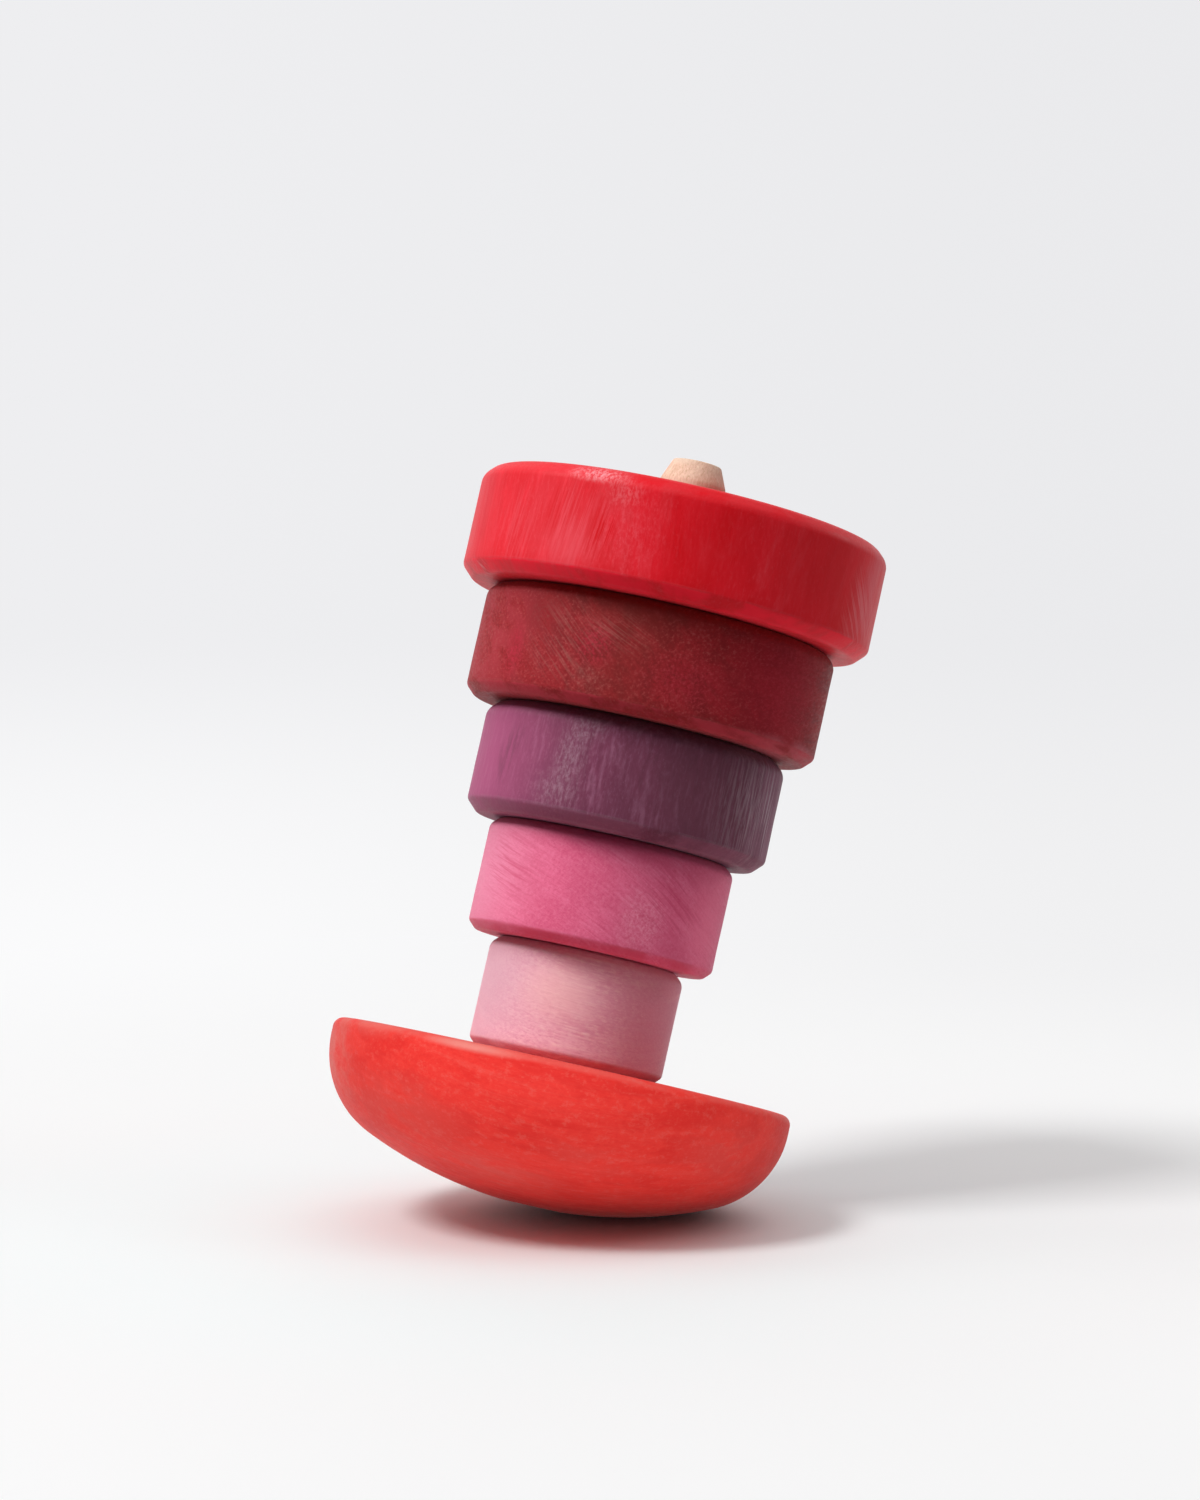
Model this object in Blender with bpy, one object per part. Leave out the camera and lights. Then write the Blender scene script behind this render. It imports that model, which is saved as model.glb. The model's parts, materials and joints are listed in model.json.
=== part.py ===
# Wobbly stacking tower, turned from wood: a rocker base with a domed underside, a
# peg glued into it, and five loose discs on the peg, smallest at the bottom.
import math

import bmesh
import bpy

# Driving dimensions, in metres. The tower stands upright on the flat at the middle
# of its dome, with the peg along +Z.

# Rocker base
BASE_DIAMETER = 0.0940
DOME_RADIUS = 0.0870
DOME_CORNER_RADIUS = 0.0195
BASE_WALL_HEIGHT = 0.0015
BASE_RIM_ROUND = 0.0020
REST_FLAT_DIAMETER = 0.0130
SOCKET_FLOOR = 0.0100
SOCKET_MOUTH_BEVEL = 0.0005

# Peg
PEG_DIAMETER = 0.0135
PEG_STAND_OUT = 0.0098
PEG_TIP_INSET = 0.0018
PEG_TIP_HEIGHT = 0.0043
PEG_FOOT_BEVEL = 0.0010

# Discs, all cut from one board
DISC_THICKNESS = 0.0228
PALE_PINK_DIAMETER = 0.0396
PALE_PINK_CHAMFER = 0.0019
PINK_DIAMETER = 0.0502
PINK_CHAMFER = 0.0017
PLUM_DIAMETER = 0.0615
PLUM_CHAMFER = 0.0024
DARK_RED_DIAMETER = 0.0719
DARK_RED_CHAMFER = 0.0019
BRIGHT_RED_DIAMETER = 0.0840
BRIGHT_RED_CHAMFER = 0.0024
BORE_BEVEL = 0.0008
EDGE_SOFTENING = 0.0004

# Fits
PEG_CLEARANCE = 0.0011
GLUE_GAP = 0.0003
STACK_GAP = 0.0003

# Facets round each turned piece, and along each arc of the base's outline
BASE_FACETS = 64
DISC_FACETS = 48
PEG_FACETS = 32
DOME_STEPS = 7
CORNER_STEPS = 7
RIM_STEPS = 3

SHARP_ANGLE = math.radians(30)
MERGE_DISTANCE = 0.00001

# Stain colours, as linear red, green and blue
CORAL_RED_COLOUR = (0.716, 0.032, 0.027)
BARE_WOOD_COLOUR = (0.730, 0.515, 0.352)
PALE_PINK_COLOUR = (0.776, 0.381, 0.451)
PINK_COLOUR = (0.591, 0.125, 0.216)
PLUM_COLOUR = (0.153, 0.042, 0.074)
DARK_RED_COLOUR = (0.209, 0.019, 0.018)
BRIGHT_RED_COLOUR = (0.610, 0.014, 0.023)
STAINED_ROUGHNESS = 0.55
BARE_ROUGHNESS = 0.65


def clear_scene():
    for old in list(bpy.data.objects):
        bpy.data.objects.remove(old)


def wood(name, colour, roughness):
    material = bpy.data.materials.new(name)
    material.use_nodes = True
    shader = material.node_tree.nodes["Principled BSDF"]
    shader.inputs["Base Color"].default_value = (*colour, 1.0)
    shader.inputs["Roughness"].default_value = roughness
    shader.inputs["Metallic"].default_value = 0.0
    return material


def arc(centre, radius, start, end, steps):
    """Points (distance out, height) on an arc; an angle of 0 points outwards, 90 degrees up."""
    points = []
    for step in range(steps + 1):
        angle = start + (end - start) * step / steps
        out = centre[0] + radius * math.cos(angle)
        height = centre[1] + radius * math.sin(angle)
        points.append((out, height))
    return points


def softened(outline):
    """An open outline with the sharpness taken off all its corners but the two ends."""
    soft = [outline[0]]
    for before, corner, after in zip(outline, outline[1:], outline[2:]):
        for neighbour in (before, after):
            share = EDGE_SOFTENING / math.dist(corner, neighbour)
            soft.append(tuple(c + (n - c) * share for c, n in zip(corner, neighbour)))
    soft.append(outline[-1])
    return soft


def turned(name, outline, facets, material, closed=False):
    """A lathe-turned piece: its outline, listed down the outer side, spun about Z."""
    shape = bmesh.new()
    points = [shape.verts.new((out, 0.0, height)) for out, height in outline]
    edges = [shape.edges.new(pair) for pair in zip(points, points[1:])]
    if closed:
        edges.append(shape.edges.new((points[-1], points[0])))
    bmesh.ops.spin(
        shape,
        geom=points + edges,
        axis=(0.0, 0.0, 1.0),
        angle=math.tau,
        steps=facets,
        use_merge=True,
    )
    bmesh.ops.remove_doubles(shape, verts=shape.verts, dist=MERGE_DISTANCE)
    bmesh.ops.recalc_face_normals(shape, faces=shape.faces)

    mesh = bpy.data.meshes.new(name)
    shape.to_mesh(mesh)
    shape.free()
    mesh.shade_smooth()
    mesh.set_sharp_from_angle(angle=SHARP_ANGLE)
    mesh.materials.append(material)
    piece = bpy.data.objects.new(name, mesh)
    bpy.context.collection.objects.link(piece)
    return piece


# Outline of the dome: a shallow ball that runs into a tighter corner arc, which
# ends upright at the base's full diameter. Both arcs are tangent where they meet.
base_radius = BASE_DIAMETER / 2
rest_flat_radius = REST_FLAT_DIAMETER / 2
dome_centre_height = math.sqrt(DOME_RADIUS**2 - rest_flat_radius**2)
dome_centre = (0.0, dome_centre_height)
corner_out = base_radius - DOME_CORNER_RADIUS
corner_drop = math.sqrt((DOME_RADIUS - DOME_CORNER_RADIUS) ** 2 - corner_out**2)
corner_centre = (corner_out, dome_centre_height - corner_drop)
tangent_angle = -math.atan2(corner_drop, corner_out)
flat_edge_angle = -math.atan2(dome_centre_height, rest_flat_radius)
rim_centre = (base_radius - BASE_RIM_ROUND, corner_centre[1] + BASE_WALL_HEIGHT)
base_top = rim_centre[1] + BASE_RIM_ROUND


def make_rocker_base():
    socket_radius = PEG_DIAMETER / 2 + GLUE_GAP
    outline = [
        (0.0, SOCKET_FLOOR),
        (socket_radius, SOCKET_FLOOR),
        (socket_radius, base_top - SOCKET_MOUTH_BEVEL),
        (socket_radius + SOCKET_MOUTH_BEVEL, base_top),
    ]
    outline += arc(rim_centre, BASE_RIM_ROUND, math.pi / 2, 0.0, RIM_STEPS)
    outline += arc(corner_centre, DOME_CORNER_RADIUS, 0.0, tangent_angle, CORNER_STEPS)
    outline += arc(dome_centre, DOME_RADIUS, tangent_angle, flat_edge_angle, DOME_STEPS)[1:]
    outline.append((0.0, 0.0))
    stain = wood("coral_red_stained_wood", CORAL_RED_COLOUR, STAINED_ROUGHNESS)
    return turned("rocker_base", outline, BASE_FACETS, stain)


def make_peg(peg_foot, peg_top):
    """The peg's own origin is at its foot, on the axis that the discs slide along."""
    length = peg_top - peg_foot
    radius = PEG_DIAMETER / 2
    outline = softened([
        (0.0, length),
        (radius - PEG_TIP_INSET, length),
        (radius, length - PEG_TIP_HEIGHT),
        (radius, PEG_FOOT_BEVEL),
        (radius - PEG_FOOT_BEVEL, 0.0),
        (0.0, 0.0),
    ])
    return turned("peg", outline, PEG_FACETS, wood("bare_wood", BARE_WOOD_COLOUR, BARE_ROUGHNESS))


def make_disc(name, diameter, chamfer, stain):
    """A bored disc with chamfered edges; its origin is under its middle, on the peg's axis."""
    radius = diameter / 2
    bore = PEG_DIAMETER / 2 + PEG_CLEARANCE
    top = DISC_THICKNESS
    outline = softened([
        (bore + BORE_BEVEL, top),
        (radius - chamfer, top),
        (radius, top - chamfer),
        (radius, chamfer),
        (radius - chamfer, 0.0),
        (bore + BORE_BEVEL, 0.0),
    ])
    outline += [(bore, BORE_BEVEL), (bore, top - BORE_BEVEL)]
    return turned(name, outline, DISC_FACETS, stain, closed=True)


clear_scene()
tower = bpy.data.objects.new("stacking_tower", None)
bpy.context.collection.objects.link(tower)

rocker_base = make_rocker_base()
rocker_base.parent = tower

# Each disc stands on the piece below it, so lifting one lifts all that are above.
discs = (
    ("disc_pale_pink", PALE_PINK_DIAMETER, PALE_PINK_CHAMFER, PALE_PINK_COLOUR),
    ("disc_pink", PINK_DIAMETER, PINK_CHAMFER, PINK_COLOUR),
    ("disc_plum", PLUM_DIAMETER, PLUM_CHAMFER, PLUM_COLOUR),
    ("disc_dark_red", DARK_RED_DIAMETER, DARK_RED_CHAMFER, DARK_RED_COLOUR),
    ("disc_bright_red", BRIGHT_RED_DIAMETER, BRIGHT_RED_CHAMFER, BRIGHT_RED_COLOUR),
)
below = rocker_base
rise = base_top + STACK_GAP
stack_top = base_top
for name, diameter, chamfer, colour in discs:
    stain = wood(name.removeprefix("disc_") + "_stained_wood", colour, STAINED_ROUGHNESS)
    disc = make_disc(name, diameter, chamfer, stain)
    disc.parent = below
    disc.location.z = rise
    below = disc
    rise = DISC_THICKNESS + STACK_GAP
    stack_top += DISC_THICKNESS + STACK_GAP

peg_foot = SOCKET_FLOOR + GLUE_GAP
peg = make_peg(peg_foot, stack_top + PEG_STAND_OUT)
peg.parent = rocker_base
peg.location.z = peg_foot
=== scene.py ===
"""A wooden rocking stacking tower: five stained discs on a peg that stands in a half-round base."""

import json
import math

import bmesh
import bpy
from mathutils import Matrix, Vector, noise

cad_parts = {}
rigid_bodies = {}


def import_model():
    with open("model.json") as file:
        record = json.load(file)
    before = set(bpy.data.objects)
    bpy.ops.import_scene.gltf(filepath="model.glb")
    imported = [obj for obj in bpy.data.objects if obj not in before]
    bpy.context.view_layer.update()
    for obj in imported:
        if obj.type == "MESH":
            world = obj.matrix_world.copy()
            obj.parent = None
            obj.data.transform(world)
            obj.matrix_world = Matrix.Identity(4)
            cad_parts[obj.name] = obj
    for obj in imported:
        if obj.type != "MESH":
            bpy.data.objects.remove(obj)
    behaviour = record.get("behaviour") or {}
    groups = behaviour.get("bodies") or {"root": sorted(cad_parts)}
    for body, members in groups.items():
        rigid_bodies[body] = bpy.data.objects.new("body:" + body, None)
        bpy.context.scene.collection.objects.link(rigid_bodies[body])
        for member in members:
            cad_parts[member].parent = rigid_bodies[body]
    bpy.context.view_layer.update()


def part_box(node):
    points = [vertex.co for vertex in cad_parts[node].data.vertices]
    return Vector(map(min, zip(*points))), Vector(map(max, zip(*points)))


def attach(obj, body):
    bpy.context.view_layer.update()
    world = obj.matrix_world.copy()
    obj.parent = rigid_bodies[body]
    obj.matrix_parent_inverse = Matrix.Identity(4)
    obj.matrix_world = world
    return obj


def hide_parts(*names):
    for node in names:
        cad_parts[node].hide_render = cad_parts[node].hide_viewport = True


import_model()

# The rocker base: a shallow half-round turned from one block of beech, with a flat top and a blind
# socket for the peg. A coral red water stain is rubbed in, so the grain shows through, and it is
# worn thin low on the sides. The pale line round the rim is partly wear and partly painted highlight,
# the rim's front left and the belly's left edge are painted paler as highlight and sheen, and the
# bottom of the belly is painted deeper as shade.
FACING = math.radians(60.0)
TURNING_STEPS = 192
OUTLINE_STEP = 0.0016
MERGE_DISTANCE = 0.00001
LONG_WAVES = 90.0
SHORT_WAVES = 230.0

DOME_RADIUS = 0.0870
DOME_CORNER_RADIUS = 0.0195
REST_FLAT_RADIUS = 0.0065
RIM_ROUND = 0.0020
SOCKET_RADIUS = 0.00705
SOCKET_FLOOR = 0.0100
SOCKET_MOUTH_BEVEL = 0.0005
BASE_UNEVENNESS = 0.00006
DOME_STEPS = 24
DOME_CORNER_STEPS = 20
RIM_STEPS = 8

CORAL = (0.820, 0.042, 0.032)
CORAL_DEEP = (0.680, 0.018, 0.015)
CORAL_PALE = (0.790, 0.180, 0.150)
# A painted highlight on the rim.
CORAL_RIM_HIGHLIGHT = (0.760, 0.340, 0.290)

GRAIN_DEPTH = 0.0004
RAGGED_EDGE = 0.0005
FUZZ = 0.04
FUZZ_ROUGHNESS = 0.4


def start_outline(*corners):
    """A bmesh that holds a line through (radius, height) corners, all on the tower's right side."""
    shape = bmesh.new()
    points = [shape.verts.new((radius, 0.0, height)) for radius, height in corners]
    for start, end in zip(points, points[1:]):
        shape.edges.new((start, end))
    return shape, points


def line_to(shape, point, radius, height):
    """Carries the outline on to another corner, and returns it."""
    corner = shape.verts.new((radius, 0.0, height))
    shape.edges.new((point, corner))
    return corner


def arc_to(shape, point, centre_radius, centre_height, turn, steps):
    """Carries the outline on round a centre, and returns the arc's last point."""
    made = bmesh.ops.spin(
        shape, geom=[point], cent=(centre_radius, 0.0, centre_height), axis=(0.0, -1.0, 0.0),
        angle=turn, steps=steps,
    )
    return next(item for item in made["geom_last"] if isinstance(item, bmesh.types.BMVert))


def turn_on_lathe(name, shape, unevenness):
    """Divides the outline's long runs, spins it round the axis, and leaves the wood a little uneven."""
    for edge in list(shape.edges):
        pieces = math.ceil(edge.calc_length() / OUTLINE_STEP)
        if pieces > 1:
            bmesh.ops.subdivide_edges(shape, edges=[edge], cuts=pieces - 1)
    bmesh.ops.spin(
        shape, geom=shape.verts[:] + shape.edges[:], cent=(0.0, 0.0, 0.0), axis=(0.0, 0.0, 1.0),
        angle=math.tau, steps=TURNING_STEPS, use_merge=True,
    )
    bmesh.ops.remove_doubles(shape, verts=shape.verts[:], dist=MERGE_DISTANCE)
    bmesh.ops.recalc_face_normals(shape, faces=shape.faces[:])
    shape.normal_update()
    for vert in shape.verts:
        wave = noise.noise(vert.co * LONG_WAVES) + 0.5 * noise.noise(vert.co * SHORT_WAVES)
        off_flats = 1.0 - vert.normal.z ** 4
        vert.co += vert.normal * unevenness * off_flats * wave
    mesh = bpy.data.meshes.new(name)
    shape.to_mesh(mesh)
    shape.free()
    mesh.shade_smooth()
    piece = bpy.data.objects.new(name, mesh)
    bpy.context.scene.collection.objects.link(piece)
    return piece


def put(tree, kind, inputs=None, **settings):
    """Adds a node; an input is either another node's socket or a plain value."""
    made = tree.nodes.new(kind)
    for setting, value in settings.items():
        setattr(made, setting, value)
    for socket, value in (inputs or {}).items():
        if isinstance(value, bpy.types.NodeSocket):
            tree.links.new(value, made.inputs[socket])
        else:
            made.inputs[socket].default_value = value
    return made


def stretch(tree, value, low, high, to_low=0.0, to_high=1.0):
    """Spreads a narrow span of a value to the whole of another."""
    made = put(
        tree, "ShaderNodeMapRange",
        {"Value": value, "From Min": low, "From Max": high, "To Min": to_low, "To Max": to_high},
        interpolation_type="SMOOTHSTEP",
    )
    return made.outputs[0]


def sums(tree, operation, first, second=0.0):
    """One sum on two values."""
    return put(tree, "ShaderNodeMath", {0: first, 1: second}, operation=operation).outputs[0]


def tint(tree, share, under, over):
    """Lays one colour over another."""
    made = put(tree, "ShaderNodeMix", {0: share, 6: under, 7: over}, data_type="RGBA")
    return made.outputs[2]


def opaque(colour):
    return (*colour, 1.0)


def grain_lie(across, along):
    """How growth layers lie: across them and along their fibres, as (right, away, up) in the photograph."""
    across = Vector(across).normalized()
    along = Vector(along)
    along = (along - across * along.dot(across)).normalized()
    axes = Matrix((along, across.cross(along), across)).transposed()
    return (Matrix.Rotation(FACING, 3, "Z") @ axes).to_euler()


def figure(tree, coords, centre, lie, size, detail=2.0, rough=0.5, twist=0.0):
    """A noise drawn out to a size along the fibres, over a layer and across it, from 0 to 1."""
    placed = put(
        tree, "ShaderNodeMapping", {"Vector": coords, "Location": centre, "Rotation": lie, "Scale": size},
        vector_type="TEXTURE",
    )
    drawn = put(tree, "ShaderNodeTexNoise", {
        "Vector": placed.outputs[0], "Scale": 1.0, "Detail": detail, "Roughness": rough, "Distortion": twist,
    })
    return drawn.outputs[0]


def patch(tree, coords, spot, width, height):
    """1 at a spot on a piece, falling to 0 at the edge of an egg-shaped patch round it."""
    placed = put(
        tree, "ShaderNodeMapping", {"Vector": coords, "Location": spot, "Scale": (width, width, height)},
        vector_type="TEXTURE",
    )
    off = put(tree, "ShaderNodeVectorMath", {0: placed.outputs[0]}, operation="LENGTH").outputs["Value"]
    return stretch(tree, off, 0.1, 1.0, 1.0, 0.0)


def on_side(radius, turn, height):
    """A spot on a round side: so far from the axis, so many degrees to the right of the front, so high."""
    angle = FACING - math.pi / 2 + math.radians(turn)
    return Vector((radius * math.cos(angle), radius * math.sin(angle), height))


def slanted(turn, lean):
    """The lie of lines that lean so many degrees right of upright, so far round from the front."""
    turn = math.radians(turn)
    lean = math.radians(lean)
    right = Vector((math.cos(turn), math.sin(turn), 0.0))
    up = Vector((0.0, 0.0, 1.0))
    across = right * math.cos(lean) - up * math.sin(lean)
    along = right * math.sin(lean) + up * math.cos(lean)
    return grain_lie(across, along)


def stained_wood(name, centre, lie, stain, deep, pale, layer, fibre, cloud=0.012, wave=0.25,
                 fleck=(0.0016, 0.0004, 0.0004), speck=(0.0012, 0.0006, 0.0006), line=(0.014, 0.004, 0.0006),
                 cloud_share=0.35, layer_share=0.25, fibre_share=0.2, fleck_share=0.2, speck_share=0.3,
                 relief=0.2, roughness=(0.45, 0.62), gloss=0.08, marks=(), bands=()):
    """Beech under a rubbed-in stain: uneven take-up, growth layers, fibres and flecks, then wear, painted
    highlights and painted shade.

    A mark is (spot, width, height, colour, share, what breaks it up) and a band is (height, half width,
    softness, colour, share). A figure's name or the lie of lines breaks a mark up, and "" leaves it whole.
    """
    material = bpy.data.materials.new(name)
    material.use_nodes = True
    tree = material.node_tree
    tree.nodes.clear()
    coords = put(tree, "ShaderNodeTexCoord").outputs["Object"]
    clouds = figure(tree, coords, centre, lie, (2.0 * cloud, cloud, 0.6 * cloud), 3.0, 0.55, 0.2)
    layers = figure(tree, coords, centre, lie, layer, 3.0, 0.6, wave)
    fibres = figure(tree, coords, centre, lie, fibre, 3.0, 0.6)
    flecks = figure(tree, coords, centre, lie, fleck, 1.0, 0.5)
    specks = figure(tree, coords, centre, lie, speck, 4.0, 0.75)
    break_up = {
        "cloud": stretch(tree, clouds, 0.35, 0.6),
        "layer": stretch(tree, layers, 0.4, 0.6),
        "fibre": stretch(tree, fibres, 0.42, 0.62),
        "speck": stretch(tree, specks, 0.40, 0.64, 0.1, 1.0),
    }

    def share_of(mask, share):
        return sums(tree, "MULTIPLY", mask, share)

    taken_up = share_of(stretch(tree, clouds, 0.4, 0.62), cloud_share)
    colour = tint(tree, taken_up, opaque(stain), opaque(deep))
    clear = stretch(tree, clouds, 0.35, 0.65, 1.3 * layer_share, 0.4 * layer_share)
    colour = tint(tree, share_of(stretch(tree, layers, 0.5, 0.72), clear), colour, opaque(pale))
    colour = tint(tree, share_of(stretch(tree, layers, 0.5, 0.28), clear), colour, opaque(deep))
    colour = tint(tree, share_of(stretch(tree, fibres, 0.5, 0.74), fibre_share), colour, opaque(pale))
    colour = tint(tree, share_of(stretch(tree, fibres, 0.5, 0.26), fibre_share), colour, opaque(deep))
    colour = tint(tree, share_of(stretch(tree, flecks, 0.6, 0.72), fleck_share), colour, opaque(deep))
    colour = tint(tree, share_of(stretch(tree, specks, 0.5, 0.68), speck_share), colour, opaque(pale))
    colour = tint(tree, share_of(stretch(tree, specks, 0.5, 0.32), speck_share), colour, opaque(deep))
    for spot, width, height, over, share, broken in marks:
        mask = patch(tree, coords, spot, width, height)
        if isinstance(broken, str) and broken:
            mask = sums(tree, "MULTIPLY", mask, break_up[broken])
        elif broken:
            lines = figure(tree, coords, centre, broken, line, 3.0, 0.6, 0.3)
            mask = sums(tree, "MULTIPLY", mask, stretch(tree, lines, 0.48, 0.62))
        colour = tint(tree, share_of(mask, share), colour, opaque(over))
    up = put(tree, "ShaderNodeSeparateXYZ", {0: coords}).outputs["Z"]
    wobble = sums(tree, "MULTIPLY", sums(tree, "SUBTRACT", layers, 0.5), RAGGED_EDGE)
    ragged = sums(tree, "ADD", up, wobble)
    for at, half, soft, over, share in bands:
        off = sums(tree, "ABSOLUTE", sums(tree, "SUBTRACT", ragged, at))
        mask = sums(tree, "MULTIPLY", stretch(tree, off, half, half + soft, 1.0, 0.0), break_up["cloud"])
        colour = tint(tree, share_of(mask, share), colour, opaque(over))
    height = sums(tree, "ADD", sums(tree, "MULTIPLY", layers, 0.5), sums(tree, "MULTIPLY", fibres, 0.5))
    bumped = put(tree, "ShaderNodeBump", {"Height": height, "Strength": relief, "Distance": GRAIN_DEPTH})
    surface = put(tree, "ShaderNodeBsdfPrincipled", {
        "Base Color": colour, "Roughness": stretch(tree, fibres, 0.35, 0.65, *roughness),
        "Normal": bumped.outputs[0], "Specular IOR Level": gloss,
        "Sheen Weight": FUZZ, "Sheen Roughness": FUZZ_ROUGHNESS,
    })
    out = put(tree, "ShaderNodeOutputMaterial")
    tree.links.new(surface.outputs[0], out.inputs["Surface"])
    return material


base_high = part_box("rocker_base")[1]
base_radius = base_high.x
base_top = base_high.z
dome_turn_start = math.asin(REST_FLAT_RADIUS / DOME_RADIUS)
dome_centre = DOME_RADIUS * math.cos(dome_turn_start)
corner_centre_radius = base_radius - DOME_CORNER_RADIUS
dome_turn_end = math.asin(corner_centre_radius / (DOME_RADIUS - DOME_CORNER_RADIUS))
corner_centre_height = dome_centre - (DOME_RADIUS - DOME_CORNER_RADIUS) * math.cos(dome_turn_end)

outline, points = start_outline((0.0, 0.0), (REST_FLAT_RADIUS, 0.0))
last = arc_to(outline, points[-1], 0.0, dome_centre, dome_turn_end - dome_turn_start, DOME_STEPS)
corner_turn = math.pi / 2 - dome_turn_end
last = arc_to(outline, last, corner_centre_radius, corner_centre_height, corner_turn, DOME_CORNER_STEPS)
last = line_to(outline, last, base_radius, base_top - RIM_ROUND)
last = arc_to(outline, last, base_radius - RIM_ROUND, base_top - RIM_ROUND, math.pi / 2, RIM_STEPS)
last = line_to(outline, last, SOCKET_RADIUS + SOCKET_MOUTH_BEVEL, base_top)
last = line_to(outline, last, SOCKET_RADIUS, base_top - SOCKET_MOUTH_BEVEL)
last = line_to(outline, last, SOCKET_RADIUS, SOCKET_FLOOR)
line_to(outline, last, 0.0, SOCKET_FLOOR)
rocker = turn_on_lathe("rocker_base_turned", outline, BASE_UNEVENNESS)
rocker.data.materials.append(stained_wood(
    "coral_red_beech", (0.0, 0.0, base_top / 2), grain_lie((0.0, -0.4, 1.0), (1.0, 0.0, 0.0)),
    CORAL, CORAL_DEEP, CORAL_PALE, layer=(0.05, 0.02, 0.0014), fibre=(0.012, 0.0005, 0.0004),
    cloud=0.007, cloud_share=0.50, layer_share=0.10, fibre_share=0.10, speck_share=0.22,
    speck=(0.0020, 0.0016, 0.0014),
    marks=[
        (on_side(0.046, -42.0, 0.012), 0.024, 0.012, CORAL_PALE, 0.20, "cloud"),
        # Painted sheen: the left edge of the belly is paler.
        (on_side(0.047, -75.0, 0.020), 0.013, 0.015, CORAL_PALE, 0.65, "cloud"),
        (on_side(0.032, -15.0, 0.005), 0.018, 0.006, CORAL_PALE, 0.30, "cloud"),
        (on_side(0.040, 12.0, 0.012), 0.014, 0.006, CORAL_PALE, 0.16, "cloud"),
        (on_side(0.044, 48.0, 0.018), 0.016, 0.009, CORAL_PALE, 0.15, "cloud"),
        # Painted highlights: a pale streak on the rim at the front left, and the rim paler at the top left.
        (on_side(0.0465, -24.0, base_top - 0.0009), 0.015, 0.0015, CORAL_RIM_HIGHLIGHT, 0.6, ""),
        (on_side(0.046, -56.0, base_top), 0.016, 0.0040, CORAL_PALE, 0.40, "cloud"),
        # Painted shade: the bottom of the belly, where it meets the floor, is deeper.
        ((0.0, 0.0, 0.0), 0.030, 0.005, CORAL_DEEP, 0.8, ""),
    ],
    # The pale line round the rim is partly wear and partly painted highlight.
    bands=[(base_top - 0.2 * RIM_ROUND, 0.1 * RIM_ROUND, 0.6 * RIM_ROUND, CORAL_PALE, 0.35)],
))
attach(rocker, "base")
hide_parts("rocker_base")

# The peg: a plain dowel of bare beech, glued into the socket, whose end is cut to a blunt cone so
# that a child finds the hole in each disc.
PEG_TIP_INSET = 0.0018
PEG_TIP_HEIGHT = 0.0043
PEG_FOOT_BEVEL = 0.0010
PEG_ROUND = 0.0003
PEG_UNEVENNESS = 0.00003
ROUND_STEPS = 3

BARE_WOOD = (0.690, 0.480, 0.365)
BARE_WOOD_DEEP = (0.430, 0.240, 0.140)
BARE_WOOD_PALE = (0.860, 0.700, 0.540)
END_GRAIN = (0.690, 0.610, 0.500)
# Painted shade: reddish shade on the right of the peg, just above the top disc.
PEG_RED_SHADE = (0.660, 0.180, 0.140)
PEG_RED_SHADE_HEIGHT = 0.1460

peg_low, peg_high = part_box("peg")
peg_radius = peg_high.x
peg_tip_radius = peg_radius - PEG_TIP_INSET
outline, points = start_outline(
    (0.0, peg_low.z), (peg_radius - PEG_FOOT_BEVEL, peg_low.z), (peg_radius, peg_low.z + PEG_FOOT_BEVEL),
    (peg_radius, peg_high.z - PEG_TIP_HEIGHT), (peg_tip_radius, peg_high.z), (0.0, peg_high.z),
)
bmesh.ops.bevel(
    outline, geom=points[3:5], offset=PEG_ROUND, segments=ROUND_STEPS, profile=0.5,
    affect="VERTICES", material=-1,
)
peg = turn_on_lathe("peg_turned", outline, PEG_UNEVENNESS)
peg.data.materials.append(stained_wood(
    "bare_beech", (0.0, 0.0, peg_high.z), grain_lie((0.5, -1.0, 0.0), (0.0, 0.0, 1.0)),
    BARE_WOOD, BARE_WOOD_DEEP, BARE_WOOD_PALE, layer=(0.03, 0.004, 0.0009), fibre=(0.006, 0.0003, 0.0003),
    fleck=(0.0024, 0.0005, 0.0005), speck=(0.0022, 0.0005, 0.0005),
    cloud=0.006, cloud_share=0.2, layer_share=0.3, fibre_share=0.4, fleck_share=0.8, speck_share=0.4,
    roughness=(0.55, 0.7),
    marks=[
        # Painted shade: the right of the peg just above the top disc is reddish and darker.
        (on_side(peg_radius, 58.0, PEG_RED_SHADE_HEIGHT), 0.0090, 0.0070, PEG_RED_SHADE, 0.85, ""),
        ((0.0, 0.0, peg_high.z), 0.0090, 0.0026, END_GRAIN, 0.8, "cloud"),
    ],
))
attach(peg, "base")
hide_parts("peg")

# The palest disc, the smallest and lowest: turned from a beech blank, bored for the peg and
# chamfered on both faces, with its grain lying level and a thin pink stain that leaves it peachy.
BORE_RADIUS = 0.00785
BORE_BEVEL = 0.0008
EDGE_ROUND = 0.0005
TOP_ROUND = 0.45
TOP_ROUND_STEPS = 5
SETTLED = 0.00027
DISC_UNEVENNESS = 0.00005
WORN_LINE = 0.0001
WORN_LINE_FADE = 0.0003
PALE_PINK_CHAMFER = 0.0019

PALE_PINK = (0.770, 0.400, 0.480)
PALE_PINK_DEEP = (0.640, 0.250, 0.340)
PALE_PINK_PALE = (0.830, 0.550, 0.550)
PALE_PINK_MAUVE = (0.600, 0.370, 0.440)
PALE_PINK_PEACH = (0.830, 0.480, 0.480)
# Painted shade for the right side of the disc.
PALE_PINK_RIGHT_SHADE = (0.580, 0.180, 0.250)
# Painted shade for the lower chamfer.
PALE_PINK_CHAMFER_SHADE = (0.580, 0.210, 0.270)


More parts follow.
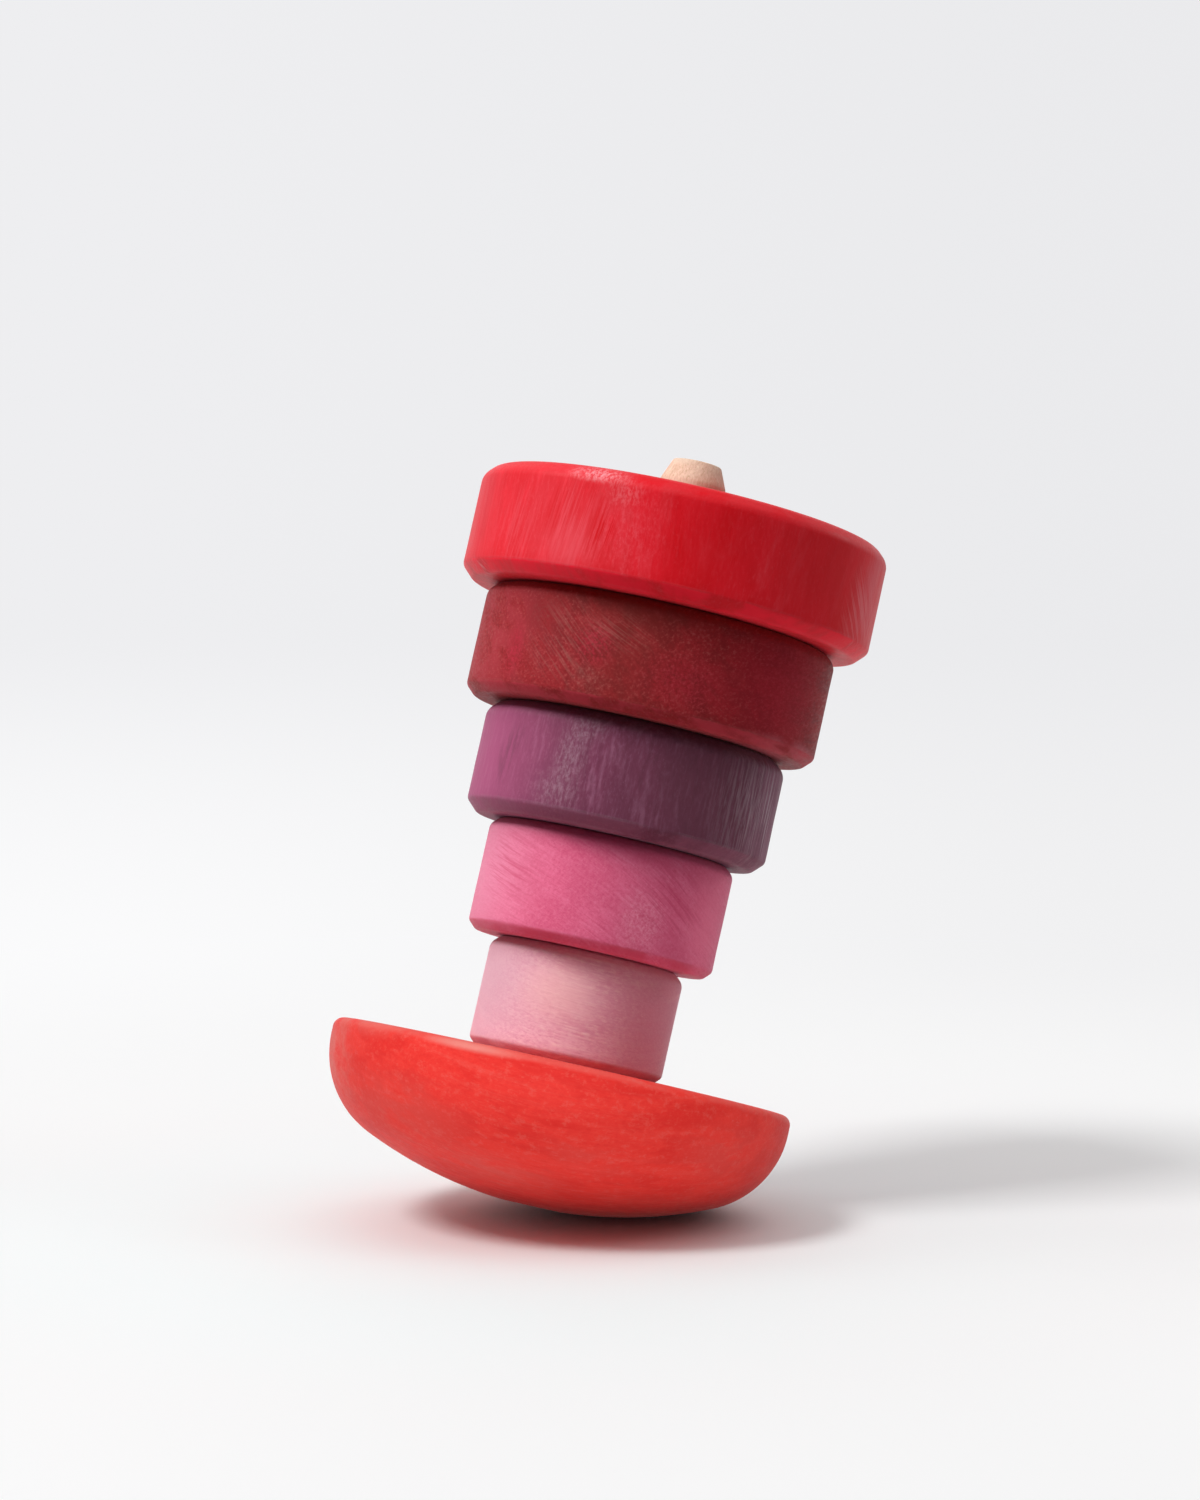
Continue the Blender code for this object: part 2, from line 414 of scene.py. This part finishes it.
def turn_disc(node, chamfer):
    """A disc as wide and thick as its place in the tower, with chamfered rims and a bore."""
    low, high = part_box(node)
    under = low.z - SETTLED
    corners = [
        (BORE_RADIUS, under + BORE_BEVEL), (BORE_RADIUS + BORE_BEVEL, under),
        (high.x - chamfer, under), (high.x, under + chamfer),
        (high.x, high.z - chamfer), (high.x - chamfer, high.z),
        (BORE_RADIUS + BORE_BEVEL, high.z), (BORE_RADIUS, high.z - BORE_BEVEL),
    ]
    shape, marks = start_outline(*corners)
    shape.edges.new((marks[-1], marks[0]))
    bmesh.ops.bevel(
        shape, geom=marks[2:4], offset=EDGE_ROUND, segments=ROUND_STEPS, profile=0.5,
        affect="VERTICES", material=-1,
    )
    bmesh.ops.bevel(
        shape, geom=marks[4:6], offset=TOP_ROUND * chamfer, segments=TOP_ROUND_STEPS, profile=0.5,
        affect="VERTICES", material=-1,
    )
    return turn_on_lathe(node + "_turned", shape, DISC_UNEVENNESS)


def disc_middle(node):
    low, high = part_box(node)
    return (0.0, 0.0, (low.z + high.z) / 2)


def on_disc(node, turn, share):
    """A spot on a disc's side: so many degrees to the right of the front, and a share of its height up."""
    low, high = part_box(node)
    return on_side(high.x, turn, low.z + share * (high.z - low.z))


def disc_bands(node, chamfer, worn, worn_share, rim, rim_share):
    """The lower chamfer in a colour of its own, then its two edges and the upper chamfer, worn in places.
    The lower chamfer is painted lighter as light from below on the bright red, dark red and plum discs,
    painted darker as shade on the pale pink one, and darker on the pink one.
    """
    low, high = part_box(node)
    return [
        (low.z + 0.4 * chamfer, 0.45 * chamfer, 0.15 * chamfer, rim, rim_share),
        (low.z, WORN_LINE, WORN_LINE_FADE, worn, worn_share),
        (low.z + chamfer, WORN_LINE, WORN_LINE_FADE, worn, worn_share),
        (high.z - 0.5 * chamfer, 0.2 * chamfer, 0.8 * chamfer, worn, worn_share),
    ]


def thread_on(disc, node, body, material):
    """Gives a disc its finish and sets it on the peg in place of the plain one."""
    disc.data.materials.append(material)
    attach(disc, body)
    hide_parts(node)


thread_on(turn_disc("disc_pale_pink", PALE_PINK_CHAMFER), "disc_pale_pink", "pale_pink", stained_wood(
    "pale_pink_beech", disc_middle("disc_pale_pink"), grain_lie((0.05, -0.3, 1.0), (1.0, 0.0, 0.0)),
    PALE_PINK, PALE_PINK_DEEP, PALE_PINK_PALE, layer=(0.05, 0.02, 0.0010), fibre=(0.008, 0.0005, 0.0004),
    cloud_share=0.45, layer_share=0.42, fibre_share=0.7, fleck_share=0.4, speck_share=0.45,
    marks=[
        (on_disc("disc_pale_pink", -62.0, 0.5), 0.018, 0.030, PALE_PINK_MAUVE, 0.7, ""),
        (on_disc("disc_pale_pink", -12.0, 0.6), 0.012, 0.009, PALE_PINK_PEACH, 0.6, ""),
        # Painted shade: the right side is darker and rosier.
        (on_disc("disc_pale_pink", 52.0, 0.5), 0.018, 0.030, PALE_PINK_RIGHT_SHADE, 0.7, ""),
    ],
    # The lower chamfer is painted darker as shade.
    bands=disc_bands("disc_pale_pink", PALE_PINK_CHAMFER, PALE_PINK_PALE, 0.2, PALE_PINK_CHAMFER_SHADE, 0.75),
))

# The pink disc: as the one below but wider, cut with its growth layers on the slant, so that fine wavy
# lines run down to the right across its sides.
PINK_CHAMFER = 0.0017

PINK = (0.700, 0.130, 0.245)
PINK_DEEP = (0.520, 0.050, 0.125)
PINK_PALE = (0.750, 0.220, 0.340)
PINK_MAUVE = (0.720, 0.265, 0.380)
# Painted light for the right edge.
PINK_RIGHT_EDGE_LIGHT = (0.860, 0.190, 0.310)
# Painted shade under the plum disc.
PINK_SHADE_UNDER_PLUM = (0.460, 0.050, 0.125)
PINK_RUBBED = (0.780, 0.290, 0.400)
PINK_RIM = (0.620, 0.085, 0.160)

thread_on(turn_disc("disc_pink", PINK_CHAMFER), "disc_pink", "pink", stained_wood(
    "pink_beech", disc_middle("disc_pink"), grain_lie((0.42, 0.12, 0.90), (0.0, 1.0, 0.0)),
    PINK, PINK_DEEP, PINK_PALE, layer=(0.010, 0.006, 0.0005), fibre=(0.003, 0.0006, 0.0004),
    cloud_share=0.3, layer_share=0.34, fibre_share=0.12, fleck_share=0.3, speck_share=0.35, wave=0.9,
    marks=[
        (on_disc("disc_pink", -70.0, 0.5), 0.022, 0.030, PINK_MAUVE, 0.6, ""),
        # Painted light: the right edge is lighter and warmer.
        (on_disc("disc_pink", 62.0, 0.5), 0.013, 0.020, PINK_RIGHT_EDGE_LIGHT, 0.5, ""),
        # Painted shade: the top edge, under the plum disc, is darker.
        (on_disc("disc_pink", -5.0, 0.95), 0.024, 0.0045, PINK_SHADE_UNDER_PLUM, 0.6, ""),
        (on_disc("disc_pink", 20.0, 0.31), 0.007, 0.009, PINK_RUBBED, 0.6, "speck"),
        (on_disc("disc_pink", 34.0, 0.55), 0.013, 0.012, PINK_DEEP, 0.6, slanted(34.0, -58.0)),
        (on_disc("disc_pink", -49.0, 0.55), 0.012, 0.012, PINK_DEEP, 0.5, slanted(-49.0, -74.0)),
    ],
    bands=disc_bands("disc_pink", PINK_CHAMFER, PINK_PALE, 0.15, PINK_RIM, 0.8),
))

# The plum disc: the middle one, cut with its fibres upright, so that fine streaks stand all round it.
# Its stain is the darkest. Its grey bloom is painted highlight left of the front and painted reflection at
# the right edge, and its left side is painted lighter and its right side darker.
PLUM_CHAMFER = 0.0024

PLUM = (0.175, 0.040, 0.082)
PLUM_DEEP = (0.100, 0.026, 0.048)
PLUM_PALE = (0.330, 0.130, 0.210)
# Painted highlight and reflection, also used for worn edges.
PLUM_SHEEN_AND_WEAR = (0.430, 0.340, 0.380)
# Painted light for the left side and painted shade for the right side.
PLUM_LEFT_LIGHT = (0.400, 0.085, 0.190)
PLUM_RIGHT_SHADE = (0.105, 0.036, 0.052)
# Painted light for the lower chamfer.
PLUM_CHAMFER_LIGHT = (0.260, 0.082, 0.138)

thread_on(turn_disc("disc_plum", PLUM_CHAMFER), "disc_plum", "plum", stained_wood(
    "plum_beech", disc_middle("disc_plum"), grain_lie((0.3, -1.0, 0.0), (0.0, 0.0, 1.0)),
    PLUM, PLUM_DEEP, PLUM_PALE, layer=(0.007, 0.0014, 0.0009), fibre=(0.006, 0.0005, 0.0004),
    cloud_share=0.35, layer_share=0.42, fibre_share=0.25, fleck_share=0.25, speck_share=0.3, wave=0.1,
    marks=[
        # Painted light and shade: the left side lighter and rosier, the right side darker and greyer.
        (on_disc("disc_plum", -75.0, 0.5), 0.034, 0.040, PLUM_LEFT_LIGHT, 0.75, ""),
        (on_disc("disc_plum", 32.0, 0.5), 0.026, 0.040, PLUM_RIGHT_SHADE, 0.6, ""),
        # Painted highlight: frosted specks left of the front.
        (on_disc("disc_plum", -23.0, 0.57), 0.005, 0.008, PLUM_SHEEN_AND_WEAR, 0.26, "speck"),
        (on_disc("disc_plum", -26.0, 0.25), 0.007, 0.006, PLUM_SHEEN_AND_WEAR, 0.20, "speck"),
        (on_disc("disc_plum", -19.0, 0.81), 0.006, 0.004, PLUM_SHEEN_AND_WEAR, 0.18, "speck"),
        (on_disc("disc_plum", -54.0, 0.42), 0.004, 0.007, PLUM_DEEP, 0.45, "layer"),
        (on_disc("disc_plum", -49.0, 0.62), 0.004, 0.005, PLUM_DEEP, 0.4, "layer"),
        # Painted reflection: pale streaks along the right edge.
        (on_disc("disc_plum", 68.0, 0.50), 0.012, 0.016, PLUM_SHEEN_AND_WEAR, 0.6, slanted(68.0, 0.0)),
        (on_disc("disc_plum", 54.0, 0.50), 0.014, 0.018, PLUM_SHEEN_AND_WEAR, 0.3, "fibre"),
    ],
    # The lower chamfer is painted lighter, as light from below.
    bands=disc_bands("disc_plum", PLUM_CHAMFER, PLUM_SHEEN_AND_WEAR, 0.07, PLUM_CHAMFER_LIGHT, 0.6),
))

# The dark red disc: a brick red stain that the wood took up unevenly, crimson here and brown there,
# over growth layers that run steeply down to the right as fine tan lines. Its left is painted lighter and
# its right darker, its top is painted darker as shade under the disc above, and its lower chamfer and
# lower right edge are painted lighter.
DARK_RED_CHAMFER = 0.0019

DARK_RED = (0.275, 0.016, 0.021)
DARK_RED_DEEP = (0.140, 0.012, 0.013)
DARK_RED_PALE = (0.410, 0.085, 0.082)
CRIMSON = (0.400, 0.018, 0.040)
TAN_LINES = (0.350, 0.180, 0.155)
# Painted light for the left side.
DARK_RED_LEFT_LIGHT = (0.430, 0.040, 0.055)
DARK_RED_BROWN = (0.170, 0.022, 0.018)
# Painted shade for the right side.
DARK_RED_RIGHT_SHADE = (0.270, 0.009, 0.020)
# Painted light for the lower right edge.
DARK_RED_RIGHT_EDGE_LIGHT = (0.620, 0.160, 0.200)
# Painted light for the lower chamfer.
DARK_RED_CHAMFER_LIGHT = (0.430, 0.034, 0.052)

thread_on(turn_disc("disc_dark_red", DARK_RED_CHAMFER), "disc_dark_red", "dark_red", stained_wood(
    "dark_red_beech", disc_middle("disc_dark_red"), grain_lie((0.66, -0.3, 0.7), (0.0, 1.0, 0.0)),
    DARK_RED, DARK_RED_DEEP, DARK_RED_PALE, layer=(0.020, 0.010, 0.0008), fibre=(0.003, 0.0006, 0.0004),
    cloud=0.006, wave=0.5, line=(0.016, 0.004, 0.00045),
    cloud_share=0.6, layer_share=0.10, fibre_share=0.12, fleck_share=0.4, speck_share=0.50, gloss=0.05,
    marks=[
        # Painted light: the left side is lighter and more crimson.
        (on_disc("disc_dark_red", -66.0, 0.5), 0.026, 0.030, DARK_RED_LEFT_LIGHT, 0.6, "cloud"),
        (on_disc("disc_dark_red", -10.0, 0.5), 0.014, 0.020, DARK_RED_BROWN, 0.35, ""),
        (on_disc("disc_dark_red", -50.0, 0.37), 0.004, 0.008, CRIMSON, 0.8, "speck"),
        (on_disc("disc_dark_red", -20.0, 0.51), 0.006, 0.006, CRIMSON, 0.8, "speck"),
        (on_disc("disc_dark_red", 12.0, 0.35), 0.014, 0.008, CRIMSON, 0.5, "speck"),
        (on_disc("disc_dark_red", -40.0, 0.72), 0.008, 0.006, DARK_RED_DEEP, 0.5, "speck"),
        # Painted shade: the right side is darker.
        (on_disc("disc_dark_red", 46.0, 0.5), 0.024, 0.024, DARK_RED_RIGHT_SHADE, 0.65, ""),
        (on_disc("disc_dark_red", 50.0, 0.55), 0.018, 0.018, CRIMSON, 0.4, "speck"),
        # Painted shade: the top is darker brown under the bright red disc.
        (on_disc("disc_dark_red", -10.0, 0.95), 0.024, 0.007, DARK_RED_BROWN, 0.5, ""),
        (on_disc("disc_dark_red", -30.0, 0.49), 0.012, 0.012, TAN_LINES, 0.24, slanted(-30.0, -49.0)),
        (on_disc("disc_dark_red", -13.0, 0.64), 0.010, 0.006, TAN_LINES, 0.24, slanted(-13.0, -64.0)),
        (on_disc("disc_dark_red", -20.0, 0.20), 0.006, 0.004, TAN_LINES, 0.16, "speck"),
        # Painted light: a pale patch along the lower right edge.
        (on_disc("disc_dark_red", 62.0, 0.03), 0.022, 0.0030, DARK_RED_RIGHT_EDGE_LIGHT, 0.6, "cloud"),
    ],
    # The lower chamfer is painted lighter, as light from below.
    bands=disc_bands("disc_dark_red", DARK_RED_CHAMFER, DARK_RED_PALE, 0.12, DARK_RED_CHAMFER_LIGHT, 0.8),
))

# The bright red disc: the widest, on top, cut with its fibres upright and its layers facing the front.
# Its stain has a satin look. Its frosted streaks are painted highlights, its top chamfer and right
# side are painted darker as shade, and its lower chamfer is painted lighter.
BRIGHT_RED_CHAMFER = 0.0024

BRIGHT_RED = (0.715, 0.013, 0.024)
BRIGHT_RED_DEEP = (0.590, 0.004, 0.008)
BRIGHT_RED_PALE = (0.760, 0.110, 0.140)
BRIGHT_RED_DULL = (0.620, 0.026, 0.042)
# Painted shade for the right side.
BRIGHT_RED_RIGHT_SHADE = (0.560, 0.016, 0.022)
# Painted light for the lower chamfer.
BRIGHT_RED_CHAMFER_LIGHT = (0.900, 0.014, 0.036)
# Painted highlight.
BRIGHT_RED_SHEEN = (0.820, 0.340, 0.370)

bright_red_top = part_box("disc_bright_red")[1].z
thread_on(turn_disc("disc_bright_red", BRIGHT_RED_CHAMFER), "disc_bright_red", "bright_red", stained_wood(
    "bright_red_beech", disc_middle("disc_bright_red"), grain_lie((0.3, -1.0, 0.1), (0.0, 0.0, 1.0)),
    BRIGHT_RED, BRIGHT_RED_DEEP, BRIGHT_RED_PALE,
    layer=(0.03, 0.005, 0.0012), fibre=(0.010, 0.0005, 0.0004), cloud=0.008,
    cloud_share=0.55, layer_share=0.14, fibre_share=0.10, fleck_share=0.15, speck_share=0.14,
    roughness=(0.36, 0.5), gloss=0.06,
    marks=[
        # Painted shade: the top chamfer is deeper, against the light from above.
        ((0.0, 0.0, bright_red_top), 0.2, 0.0036, BRIGHT_RED_DEEP, 0.8, ""),
        (on_disc("disc_bright_red", -78.0, 0.50), 0.018, 0.030, BRIGHT_RED_DULL, 0.6, ""),
        (on_disc("disc_bright_red", 6.0, 0.50), 0.014, 0.020, BRIGHT_RED_DEEP, 0.5, ""),
        # Pale streaks left of the front: partly streaky stain and partly painted highlight, the satin band
        # where the lamp shines back.
        (on_disc("disc_bright_red", -40.0, 0.50), 0.022, 0.022, BRIGHT_RED_PALE, 0.16, ""),
        (on_disc("disc_bright_red", -49.0, 0.36), 0.012, 0.014, BRIGHT_RED_PALE, 0.24, slanted(-49.0, 8.0)),
        (on_disc("disc_bright_red", -31.0, 0.50), 0.009, 0.016, BRIGHT_RED_PALE, 0.30, slanted(-31.0, 8.0)),
        (on_disc("disc_bright_red", -31.0, 0.25), 0.010, 0.008, BRIGHT_RED_PALE, 0.32, "cloud"),
        (on_disc("disc_bright_red", -15.0, 0.47), 0.010, 0.012, BRIGHT_RED_PALE, 0.20, "speck"),
        (on_disc("disc_bright_red", -17.0, 0.50), 0.012, 0.014, BRIGHT_RED_PALE, 0.16, "cloud"),
        (on_disc("disc_bright_red", -36.0, 0.55), 0.005, 0.012, BRIGHT_RED_DEEP, 0.5, slanted(-36.0, 8.0)),
        (on_disc("disc_bright_red", -22.0, 0.42), 0.005, 0.010, BRIGHT_RED_DEEP, 0.9, slanted(-22.0, 8.0)),
        (on_disc("disc_bright_red", -27.0, 0.80), 0.006, 0.004, BRIGHT_RED_DEEP, 0.6, "speck"),
        # Painted highlights: frosted patches near the top, left of the front.
        (on_disc("disc_bright_red", -27.0, 0.925), 0.009, 0.0024, BRIGHT_RED_SHEEN, 0.80, "speck"),
        (on_disc("disc_bright_red", -18.5, 0.80), 0.006, 0.0040, BRIGHT_RED_SHEEN, 0.16, "speck"),
        # Painted highlight: pale slanted lines at the far left of the lower chamfer.
        (on_disc("disc_bright_red", -70.0, 0.0), 0.008, 0.0030, BRIGHT_RED_SHEEN, 0.6, slanted(-70.0, -50.0)),
        # Painted shade: the right side is darker.
        (on_disc("disc_bright_red", 40.0, 0.6), 0.022, 0.022, BRIGHT_RED_RIGHT_SHADE, 0.5, ""),
        # Painted reflection: pale lines and a paler patch at the right edge.
        (on_disc("disc_bright_red", 66.0, 0.36), 0.011, 0.012, BRIGHT_RED_SHEEN, 0.34, slanted(66.0, -42.0)),
        (on_disc("disc_bright_red", 72.0, 0.55), 0.013, 0.020, BRIGHT_RED_PALE, 0.5, "cloud"),
    ],
    # The lower chamfer is painted lighter, as light from below.
    bands=disc_bands("disc_bright_red", BRIGHT_RED_CHAMFER, BRIGHT_RED_PALE, 0.12, BRIGHT_RED_CHAMFER_LIGHT, 0.9),
))

# The camera: a long lens at table height. In the photograph the tower has rocked over to the right
# and a little away, so the camera is rolled and tipped up here, where the tower stands upright.
LENS = 119.3
FILM_WIDTH = 36.0
NEAREST_SEEN = 0.01
CAMERA_ROLLS = math.radians(12.58)
CAMERA_TIPS_UP = math.radians(4.83)
CAMERA_TO_BASE = (-0.00670, -1.00185, -0.02067)

upright = Matrix.Rotation(FACING, 4, "Z")
lens = bpy.data.cameras.new("camera")
lens.lens = LENS
lens.sensor_width = FILM_WIDTH
lens.clip_start = NEAREST_SEEN
camera = bpy.data.objects.new("camera", lens)
bpy.context.scene.collection.objects.link(camera)
camera_turn = (
    upright
    @ Matrix.Rotation(math.pi / 2 + CAMERA_TIPS_UP, 4, "X")
    @ Matrix.Rotation(CAMERA_ROLLS, 4, "Z")
)
camera_place = upright @ Vector(CAMERA_TO_BASE) + Vector((0.0, 0.0, base_top))
camera.matrix_world = Matrix.Translation(camera_place) @ camera_turn
bpy.context.scene.camera = camera

# The floor: a seamless pale sheet. It lies level in the photograph, so against the upright tower it
# is tipped, and it touches the belly of the base at the point that the tower has rocked to. Away
# from the shadow the sheet shines by itself to the camera, for the pale background.
CAMERA_LOOKS_DOWN = math.radians(5.0)
FLOOR_HALF = 8.0
FLOOR_PALE = (0.930, 0.930, 0.932)
SHEET_NEAR = ((0.965, 0.965, 0.972), (0.878, 0.876, 0.885))
SHEET_FAR = ((0.855, 0.855, 0.872), (0.826, 0.826, 0.843))
BOUNCE_REACH = (0.11, 0.40)
FLOOR_UNDER_BELLY = (0.480, 0.480, 0.480)
UNDER_REACH = (0.025, 0.060)
FLOOR_DIM = (0.20, 0.20, 0.20)
# Painted against reflected light: the sheet is bluer left of and in front of the contact, where the base
# throws red light on it.
FLOOR_COOL = (0.910, 0.985, 0.985)
FLOOR_COOL_SPOT = (-0.035, -0.030, 0.0)
FLOOR_COOL_REACH = 0.16
LIT_REACH = 0.20
GLOWING_REACH = 0.45
FAR_REACH = 1.9
CAMERA_REACH = 1.0
VIEW_SPREAD = 0.12
LEAST_DEPTH = 0.2

room_turn = camera_turn @ Matrix.Rotation(CAMERA_LOOKS_DOWN - math.pi / 2, 4, "X")
floor_up = room_turn.to_3x3() @ Vector((0.0, 0.0, 1.0))
touch_point = Vector((0.0, 0.0, dome_centre)) - floor_up * DOME_RADIUS
room = Matrix.Translation(touch_point) @ room_turn

floor_shape = bmesh.new()
bmesh.ops.create_grid(floor_shape, x_segments=2, y_segments=2, size=FLOOR_HALF)
floor_mesh = bpy.data.meshes.new("floor")
floor_shape.to_mesh(floor_mesh)
floor_shape.free()
floor = bpy.data.objects.new("floor", floor_mesh)
bpy.context.scene.collection.objects.link(floor)
floor.matrix_world = room


def seen_rays(tree):
    """1 for what the camera sees straight or in a gloss, 0 for light that falls on the tower."""
    path = put(tree, "ShaderNodeLightPath").outputs
    seen = sums(tree, "MAXIMUM", path["Is Camera Ray"], path["Is Glossy Ray"])
    return sums(tree, "MAXIMUM", seen, path["Is Transmission Ray"])


def left_to_right(tree, place, camera_reach):
    """0 at the left of the room and 1 at its right, as seen from the front."""
    depth = sums(tree, "ADD", sums(tree, "ABSOLUTE", place["Y"]), camera_reach)
    aside = sums(tree, "DIVIDE", place["X"], sums(tree, "MAXIMUM", depth, LEAST_DEPTH))
    return stretch(tree, aside, -VIEW_SPREAD, VIEW_SPREAD)


floor_paint = bpy.data.materials.new("floor_sheet")
floor_paint.use_nodes = True
tree = floor_paint.node_tree
tree.nodes.clear()
coords = put(tree, "ShaderNodeTexCoord").outputs["Object"]
place = put(tree, "ShaderNodeSeparateXYZ", {0: coords}).outputs
reach = put(tree, "ShaderNodeVectorMath", {0: coords}, operation="LENGTH").outputs["Value"]
side = left_to_right(tree, place, CAMERA_REACH)
near = tint(tree, side, opaque(SHEET_NEAR[0]), opaque(SHEET_NEAR[1]))
far = tint(tree, side, opaque(SHEET_FAR[0]), opaque(SHEET_FAR[1]))
shown = tint(tree, stretch(tree, place["Y"], LIT_REACH, FAR_REACH), near, far)
seen = seen_rays(tree)
# The sheet throws less light back from right under the belly and from far away.
under = tint(tree, stretch(tree, reach, *UNDER_REACH), opaque(FLOOR_UNDER_BELLY), opaque(FLOOR_PALE))
thrown = tint(tree, stretch(tree, reach, *BOUNCE_REACH), under, opaque(FLOOR_DIM))
# Painted against reflected light: bluer paper where the base throws red light on the sheet.
cooled = patch(tree, coords, FLOOR_COOL_SPOT, FLOOR_COOL_REACH, FLOOR_COOL_REACH)
cool = tint(tree, cooled, opaque(FLOOR_PALE), opaque(FLOOR_COOL))
paper = tint(tree, seen, thrown, cool)
lit = put(tree, "ShaderNodeBsdfDiffuse", {"Color": paper})
glow = put(tree, "ShaderNodeEmission", {"Color": shown, "Strength": 1.0})
faded = sums(tree, "MULTIPLY", stretch(tree, reach, LIT_REACH, GLOWING_REACH), seen)
mixed = put(tree, "ShaderNodeMixShader", {0: faded, 1: lit.outputs[0], 2: glow.outputs[0]})
out = put(tree, "ShaderNodeOutputMaterial")
tree.links.new(mixed.outputs[0], out.inputs["Surface"])
floor.data.materials.append(floor_paint)

# The light: soft square lamps, the main ones high to the left and in front, each kept to the tower, the
# stack, the base or the floor, and a pale room that is brighter behind the tower and above it.
# The floor's key lamp throws the long shadow.
LAMP_DISTANCE = 5.0
ROOM_DIM = 0.12
ROOM_BRIGHT = 0.42
ROOM_BRIGHTENS = (-0.1, 0.8)
ROOM_ABOVE_SHARE = 0.7


def hang_lamp(name, pieces, azimuth, elevation, side, power, distance=LAMP_DISTANCE):
    """A square soft lamp that faces the tower and lights these pieces alone.

    Azimuth turns left from the camera.
    """
    lamp = bpy.data.lights.new(name, "AREA")
    lamp.shape = "SQUARE"
    lamp.size = side
    lamp.energy = power
    hung = bpy.data.objects.new(name, lamp)
    bpy.context.scene.collection.objects.link(hung)
    azimuth = math.radians(azimuth)
    elevation = math.radians(elevation)
    level = distance * math.cos(elevation)
    place = Vector((-level * math.sin(azimuth), -level * math.cos(azimuth), distance * math.sin(elevation)))
    facing = (-place).to_track_quat("-Z", "Y").to_matrix().to_4x4()
    hung.matrix_world = room @ Matrix.Translation(place) @ facing
    lit_by = bpy.data.collections.new("under_" + name)
    for piece in pieces:
        lit_by.objects.link(piece)
    hung.light_linking.receiver_collection = lit_by


turned = [piece for piece in bpy.context.scene.objects if piece.name.endswith("_turned")]
stack = [piece for piece in turned if piece is not rocker]
hang_lamp("high_lamp", turned, azimuth=54.0, elevation=50.0, side=1.8, power=98.0)
hang_lamp("front_lamp", turned, azimuth=-12.0, elevation=60.0, side=1.9, power=62.0)
hang_lamp("top_lamp", turned, azimuth=46.0, elevation=64.0, side=1.1, power=50.0)
hang_lamp("left_lamp", stack, azimuth=84.0, elevation=44.0, side=1.3, power=116.0)
hang_lamp("rim_lamp", stack, azimuth=-122.0, elevation=20.0, side=1.5, power=35.0)
hang_lamp("belly_lamp", [rocker], azimuth=4.0, elevation=5.0, side=0.8, power=58.0)
hang_lamp("floor_key", [floor], azimuth=56.0, elevation=53.0, side=1.4, power=108.0)
hang_lamp("floor_left", [floor], azimuth=100.0, elevation=35.0, side=2.0, power=14.0)
hang_lamp("floor_right", [floor], azimuth=-75.0, elevation=35.0, side=2.0, power=13.0)
hang_lamp("floor_back", [floor], azimuth=175.0, elevation=14.0, side=4.0, power=55.0)
hang_lamp("floor_sky", [floor], azimuth=0.0, elevation=89.9, side=8.0, power=95.0, distance=4.0)

world = bpy.data.worlds.new("room")
world.use_nodes = True
bpy.context.scene.world = world
tree = world.node_tree
tree.nodes.clear()
coords = put(tree, "ShaderNodeTexCoord").outputs["Generated"]
turned_back = put(
    tree, "ShaderNodeMapping", {"Vector": coords, "Rotation": room_turn.to_euler()}, vector_type="TEXTURE",
)
place = put(tree, "ShaderNodeSeparateXYZ", {0: turned_back.outputs[0]}).outputs
behind_and_above = sums(tree, "ADD", place["Y"], sums(tree, "MULTIPLY", place["Z"], ROOM_ABOVE_SHARE))
fill_light = stretch(tree, behind_and_above, *ROOM_BRIGHTENS, ROOM_DIM, ROOM_BRIGHT)
side = left_to_right(tree, place, 0.0)
near = tint(tree, side, opaque(SHEET_NEAR[0]), opaque(SHEET_NEAR[1]))
far = tint(tree, side, opaque(SHEET_FAR[0]), opaque(SHEET_FAR[1]))
shown = tint(tree, stretch(tree, place["Y"], LIT_REACH / FLOOR_HALF, FAR_REACH / FLOOR_HALF), near, far)
fill = put(tree, "ShaderNodeBackground", {"Color": (1.0, 1.0, 1.0, 1.0), "Strength": fill_light})
sheet = put(tree, "ShaderNodeBackground", {"Color": shown, "Strength": 1.0})
mixed = put(tree, "ShaderNodeMixShader", {0: seen_rays(tree), 1: fill.outputs[0], 2: sheet.outputs[0]})
out = put(tree, "ShaderNodeOutputWorld")
tree.links.new(mixed.outputs[0], out.inputs["Surface"])

bpy.context.scene.view_settings.view_transform = "Standard"
